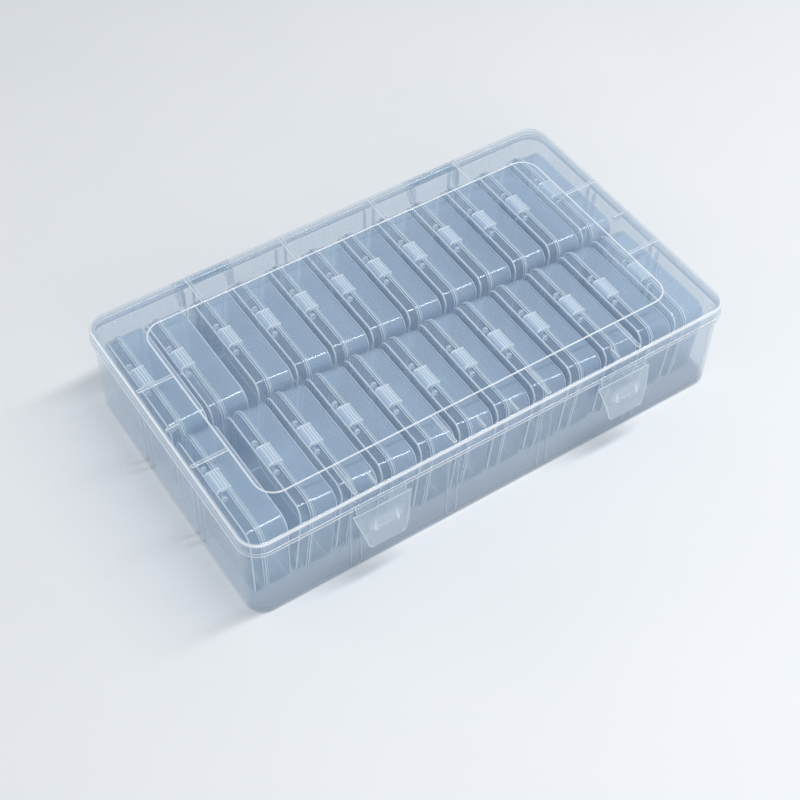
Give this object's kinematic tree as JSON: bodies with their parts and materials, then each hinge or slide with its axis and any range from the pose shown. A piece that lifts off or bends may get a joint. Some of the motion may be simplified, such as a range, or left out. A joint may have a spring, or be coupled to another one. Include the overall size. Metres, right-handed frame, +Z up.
{
  "type": "craft storage box",
  "caption": "Clear plastic craft storage box with a hinged, latching lid, filled with two rows of small clear flip-lid cases for beads and small parts.",
  "frame": {"origin": "centre of the tray's bottom face", "axes": "+X along the length, latches face -Y, +Z up"},
  "size_m": [0.275, 0.176, 0.0561],
  "materials": {
    "tray_plastic": "clear, slightly milky polypropylene, glossy",
    "lid_plastic": "clear, slightly milky polypropylene, glossy",
    "latch_plastic": "milky clear polypropylene, satin gloss",
    "case_plastic": "clear polypropylene with a blue-grey tint, glossy",
    "case_lid_plastic": "clear polypropylene with a blue-grey tint, glossy"
  },
  "bodies": {
    "base": {"base_tray": "tray_plastic", "case_front_01_body": "case_plastic", "case_front_01_lid": "case_lid_plastic", "case_front_02_body": "case_plastic", "case_front_02_lid": "case_lid_plastic", "case_front_03_body": "case_plastic", "case_front_03_lid": "case_lid_plastic", "case_front_04_body": "case_plastic", "case_front_04_lid": "case_lid_plastic", "case_front_05_body": "case_plastic", "case_front_05_lid": "case_lid_plastic", "case_front_06_body": "case_plastic", "case_front_06_lid": "case_lid_plastic", "case_front_07_body": "case_plastic", "case_front_07_lid": "case_lid_plastic", "case_front_08_body": "case_plastic", "case_front_08_lid": "case_lid_plastic", "case_front_09_body": "case_plastic", "case_front_09_lid": "case_lid_plastic", "case_front_10_body": "case_plastic", "case_front_10_lid": "case_lid_plastic", "case_front_11_body": "case_plastic", "case_front_11_lid": "case_lid_plastic", "case_front_12_body": "case_plastic", "case_front_12_lid": "case_lid_plastic", "case_back_01_body": "case_plastic", "case_back_01_lid": "case_lid_plastic", "case_back_02_body": "case_plastic", "case_back_02_lid": "case_lid_plastic", "case_back_03_body": "case_plastic", "case_back_03_lid": "case_lid_plastic", "case_back_04_body": "case_plastic", "case_back_04_lid": "case_lid_plastic", "case_back_05_body": "case_plastic", "case_back_05_lid": "case_lid_plastic", "case_back_06_body": "case_plastic", "case_back_06_lid": "case_lid_plastic", "case_back_07_body": "case_plastic", "case_back_07_lid": "case_lid_plastic", "case_back_08_body": "case_plastic", "case_back_08_lid": "case_lid_plastic", "case_back_09_body": "case_plastic", "case_back_09_lid": "case_lid_plastic", "case_back_10_body": "case_plastic", "case_back_10_lid": "case_lid_plastic", "case_back_11_body": "case_plastic", "case_back_11_lid": "case_lid_plastic", "case_back_12_body": "case_plastic", "case_back_12_lid": "case_lid_plastic"},
    "lid": {"lid": "lid_plastic"},
    "latch_left": {"latch_left": "latch_plastic"},
    "latch_right": {"latch_right": "latch_plastic"}
  },
  "joints": [
    {"name": "lid_hinge", "type": "hinge", "parent": "base", "child": "lid", "pos_m": [0, 0.08448, 0.04739], "axis": [-1, 0, 0], "range_deg": [0, 180]},
    {"name": "latch_left_hinge", "type": "hinge", "parent": "lid", "child": "latch_left", "pos_m": [-0.0694, -0.0833, 0.04444], "axis": [-1, 0, 0], "range_deg": [0, 110]},
    {"name": "latch_right_hinge", "type": "hinge", "parent": "lid", "child": "latch_right", "pos_m": [0.0694, -0.0833, 0.04444], "axis": [-1, 0, 0], "range_deg": [0, 110]}
  ]
}
